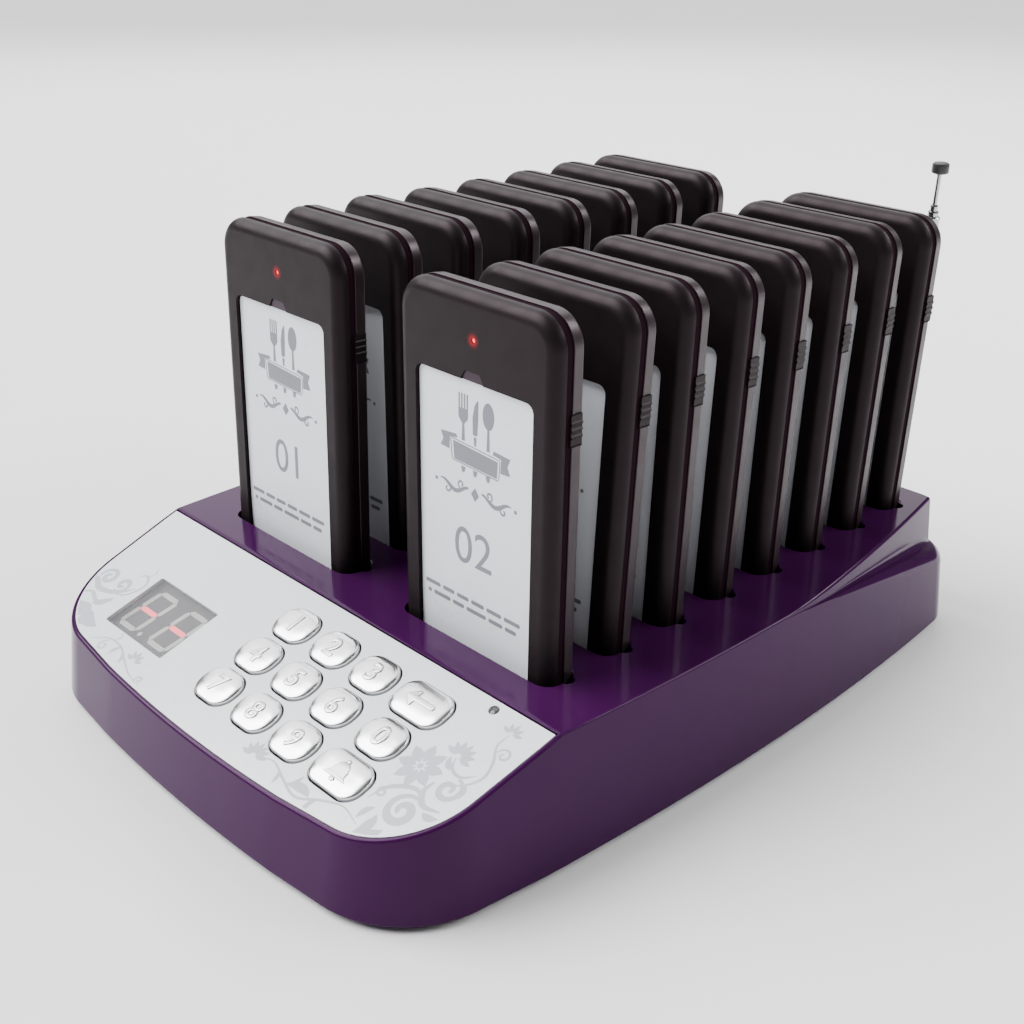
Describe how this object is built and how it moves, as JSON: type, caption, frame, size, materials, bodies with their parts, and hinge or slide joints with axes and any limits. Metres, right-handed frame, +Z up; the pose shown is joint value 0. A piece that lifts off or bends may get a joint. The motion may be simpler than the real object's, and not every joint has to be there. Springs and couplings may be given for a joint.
{
  "type": "restaurant guest paging set",
  "caption": "Desk charging base with numeric keypad, two-digit display and telescopic antenna, holding guest pagers that stand in two rows of slots.",
  "frame": {"origin": "centre of the bounding box's footprint, on the table under the feet", "axes": "+Z up, +Y from the keypad towards the antenna at the rear, +X to the right of a user who faces the keypad"},
  "size_m": [0.164, 0.226, 0.1285],
  "materials": {
    "purple_abs": "glossy injection-moulded ABS, dark aubergine purple",
    "black_abs": "black moulded ABS",
    "printed_plate": "satin silver-white overlay with a pale grey scroll print",
    "silver_key": "silver-plated domed key caps with embossed figures",
    "display_lens": "smoked clear window",
    "display_body": "grey seven-segment display body",
    "status_lamp": "dark lamp lens",
    "silicone": "grey moulded silicone",
    "circuit_board": "green solder mask",
    "antenna_steel": "dark plated steel",
    "pager_shell": "fine matt brown-black ABS",
    "label_card": "printed card under clear film",
    "red_lamp": "red lamp lens",
    "battery_foil": "silver-grey pouch foil",
    "rubber": "black rubber"
  },
  "bodies": {
    "base": {"upper_housing": "purple_abs", "bottom_cover": "black_abs", "faceplate": "printed_plate", "display_lens": "display_lens", "display_module": "display_body", "status_lamp": "status_lamp", "key_membrane": "silicone", "keypad_board": "circuit_board", "cradle_left": "black_abs", "cradle_right": "black_abs", "charge_board": "circuit_board", "power_jack": "black_abs", "antenna_mount": "antenna_steel", "foot_1": "rubber", "foot_2": "rubber", "foot_3": "rubber", "foot_4": "rubber", "cover_screw_1": "antenna_steel", "cover_screw_2": "antenna_steel", "cover_screw_3": "antenna_steel", "cover_screw_4": "antenna_steel"},
    "key_0_body": {"key_0": "silver_key"},
    "key_1_body": {"key_1": "silver_key"},
    "key_2_body": {"key_2": "silver_key"},
    "key_3_body": {"key_3": "silver_key"},
    "key_4_body": {"key_4": "silver_key"},
    "key_5_body": {"key_5": "silver_key"},
    "key_6_body": {"key_6": "silver_key"},
    "key_7_body": {"key_7": "silver_key"},
    "key_8_body": {"key_8": "silver_key"},
    "key_9_body": {"key_9": "silver_key"},
    "key_delete_body": {"key_delete": "silver_key"},
    "key_call_body": {"key_call": "silver_key"},
    "pager_01_body": {"pager_01": "pager_shell"},
    "pager_02_body": {"pager_02_front_shell": "pager_shell", "pager_02_rear_shell": "pager_shell", "pager_02_label": "label_card", "pager_02_lamp": "red_lamp", "pager_02_circuit_board": "circuit_board", "pager_02_battery": "battery_foil", "pager_02_buzz_motor": "antenna_steel"},
    "pager_03_body": {"pager_03": "pager_shell"},
    "pager_04_body": {"pager_04": "pager_shell"},
    "pager_05_body": {"pager_05": "pager_shell"},
    "pager_06_body": {"pager_06": "pager_shell"},
    "pager_07_body": {"pager_07": "pager_shell"},
    "pager_08_body": {"pager_08": "pager_shell"},
    "pager_09_body": {"pager_09": "pager_shell"},
    "pager_10_body": {"pager_10": "pager_shell"},
    "pager_11_body": {"pager_11": "pager_shell"},
    "pager_12_body": {"pager_12": "pager_shell"},
    "pager_13_body": {"pager_13": "pager_shell"},
    "pager_14_body": {"pager_14": "pager_shell"},
    "pager_15_body": {"pager_15": "pager_shell"},
    "pager_16_body": {"pager_16": "pager_shell"},
    "antenna_swivel_body": {"antenna_swivel": "antenna_steel"},
    "antenna_outer_body": {"antenna_outer_tube": "antenna_steel"},
    "antenna_middle_body": {"antenna_middle_tube": "antenna_steel"},
    "antenna_inner_body": {"antenna_inner_tube": "antenna_steel"},
    "antenna_rod_body": {"antenna_rod": "antenna_steel"}
  },
  "joints": [
    {"name": "key_0_press", "type": "slide", "parent": "base", "child": "key_0_body", "axis": [0, 0.3093, -0.9509], "range_m": [0, 0.0008], "stiffness_N_per_m": 500, "springref_m": -0.0006},
    {"name": "key_1_press", "type": "slide", "parent": "base", "child": "key_1_body", "axis": [0, 0.3093, -0.9509], "range_m": [0, 0.0008], "stiffness_N_per_m": 500, "springref_m": -0.0006},
    {"name": "key_2_press", "type": "slide", "parent": "base", "child": "key_2_body", "axis": [0, 0.3093, -0.9509], "range_m": [0, 0.0008], "stiffness_N_per_m": 500, "springref_m": -0.0006},
    {"name": "key_3_press", "type": "slide", "parent": "base", "child": "key_3_body", "axis": [0, 0.3093, -0.9509], "range_m": [0, 0.0008], "stiffness_N_per_m": 500, "springref_m": -0.0006},
    {"name": "key_4_press", "type": "slide", "parent": "base", "child": "key_4_body", "axis": [0, 0.3093, -0.9509], "range_m": [0, 0.0008], "stiffness_N_per_m": 500, "springref_m": -0.0006},
    {"name": "key_5_press", "type": "slide", "parent": "base", "child": "key_5_body", "axis": [0, 0.3093, -0.9509], "range_m": [0, 0.0008], "stiffness_N_per_m": 500, "springref_m": -0.0006},
    {"name": "key_6_press", "type": "slide", "parent": "base", "child": "key_6_body", "axis": [0, 0.3093, -0.9509], "range_m": [0, 0.0008], "stiffness_N_per_m": 500, "springref_m": -0.0006},
    {"name": "key_7_press", "type": "slide", "parent": "base", "child": "key_7_body", "axis": [0, 0.3093, -0.9509], "range_m": [0, 0.0008], "stiffness_N_per_m": 500, "springref_m": -0.0006},
    {"name": "key_8_press", "type": "slide", "parent": "base", "child": "key_8_body", "axis": [0, 0.3093, -0.9509], "range_m": [0, 0.0008], "stiffness_N_per_m": 500, "springref_m": -0.0006},
    {"name": "key_9_press", "type": "slide", "parent": "base", "child": "key_9_body", "axis": [0, 0.3093, -0.9509], "range_m": [0, 0.0008], "stiffness_N_per_m": 500, "springref_m": -0.0006},
    {"name": "key_delete_press", "type": "slide", "parent": "base", "child": "key_delete_body", "axis": [0, 0.3093, -0.9509], "range_m": [0, 0.0008], "stiffness_N_per_m": 500, "springref_m": -0.0006},
    {"name": "key_call_press", "type": "slide", "parent": "base", "child": "key_call_body", "axis": [0, 0.3093, -0.9509], "range_m": [0, 0.0008], "stiffness_N_per_m": 500, "springref_m": -0.0006},
    {"name": "pager_01_lift", "type": "slide", "parent": "base", "child": "pager_01_body", "axis": [0, 0.0209, 0.9998], "range_m": [0, 0.11]},
    {"name": "pager_02_lift", "type": "slide", "parent": "base", "child": "pager_02_body", "axis": [0, 0.0052, 1], "range_m": [0, 0.11]},
    {"name": "pager_03_lift", "type": "slide", "parent": "base", "child": "pager_03_body", "axis": [0, 0.0017, 1], "range_m": [0, 0.11]},
    {"name": "pager_04_lift", "type": "slide", "parent": "base", "child": "pager_04_body", "axis": [0, 0.0436, 0.999], "range_m": [0, 0.11]},
    {"name": "pager_05_lift", "type": "slide", "parent": "base", "child": "pager_05_body", "axis": [0, 0.0105, 0.9999], "range_m": [0, 0.11]},
    {"name": "pager_06_lift", "type": "slide", "parent": "base", "child": "pager_06_body", "axis": [0, 0.0244, 0.9997], "range_m": [0, 0.11]},
    {"name": "pager_07_lift", "type": "slide", "parent": "base", "child": "pager_07_body", "axis": [0, 0.0279, 0.9996], "range_m": [0, 0.11]},
    {"name": "pager_08_lift", "type": "slide", "parent": "base", "child": "pager_08_body", "axis": [0, 0.0349, 0.9994], "range_m": [0, 0.11]},
    {"name": "pager_09_lift", "type": "slide", "parent": "base", "child": "pager_09_body", "axis": [0, 0.0314, 0.9995], "range_m": [0, 0.11]},
    {"name": "pager_10_lift", "type": "slide", "parent": "base", "child": "pager_10_body", "axis": [0, 0.0253, 0.9997], "range_m": [0, 0.11]},
    {"name": "pager_11_lift", "type": "slide", "parent": "base", "child": "pager_11_body", "axis": [0, 0.0297, 0.9996], "range_m": [0, 0.11]},
    {"name": "pager_12_lift", "type": "slide", "parent": "base", "child": "pager_12_body", "axis": [0, 0.0279, 0.9996], "range_m": [0, 0.11]},
    {"name": "pager_13_lift", "type": "slide", "parent": "base", "child": "pager_13_body", "axis": [0, 0.0332, 0.9995], "range_m": [0, 0.11]},
    {"name": "pager_14_lift", "type": "slide", "parent": "base", "child": "pager_14_body", "axis": [0, 0.0375, 0.9993], "range_m": [0, 0.11]},
    {"name": "pager_15_lift", "type": "slide", "parent": "base", "child": "pager_15_body", "axis": [0, 0.0332, 0.9995], "range_m": [0, 0.11]},
    {"name": "pager_16_lift", "type": "slide", "parent": "base", "child": "pager_16_body", "axis": [0, 0.0349, 0.9994], "range_m": [0, 0.11]},
    {"name": "antenna_swivel", "type": "hinge", "parent": "base", "child": "antenna_swivel_body", "pos_m": [0.0477, 0.1096, 0.022], "axis": [0, 1, 0], "range_deg": [-90, 90]},
    {"name": "antenna_tilt", "type": "hinge", "parent": "antenna_swivel_body", "child": "antenna_outer_body", "pos_m": [0.0477, 0.1096, 0.022], "axis": [-0.9997, 0, 0.0227], "range_deg": [0, 90]},
    {"name": "antenna_middle_slide", "type": "slide", "parent": "antenna_outer_body", "child": "antenna_middle_body", "axis": [0.0227, 0, 0.9997], "range_m": [0, 0.075]},
    {"name": "antenna_inner_slide", "type": "slide", "parent": "antenna_middle_body", "child": "antenna_inner_body", "axis": [0.0227, 0, 0.9997], "range_m": [0, 0.075]},
    {"name": "antenna_rod_slide", "type": "slide", "parent": "antenna_inner_body", "child": "antenna_rod_body", "axis": [0.0227, 0, 0.9997], "range_m": [-0.008, 0.07]}
  ]
}
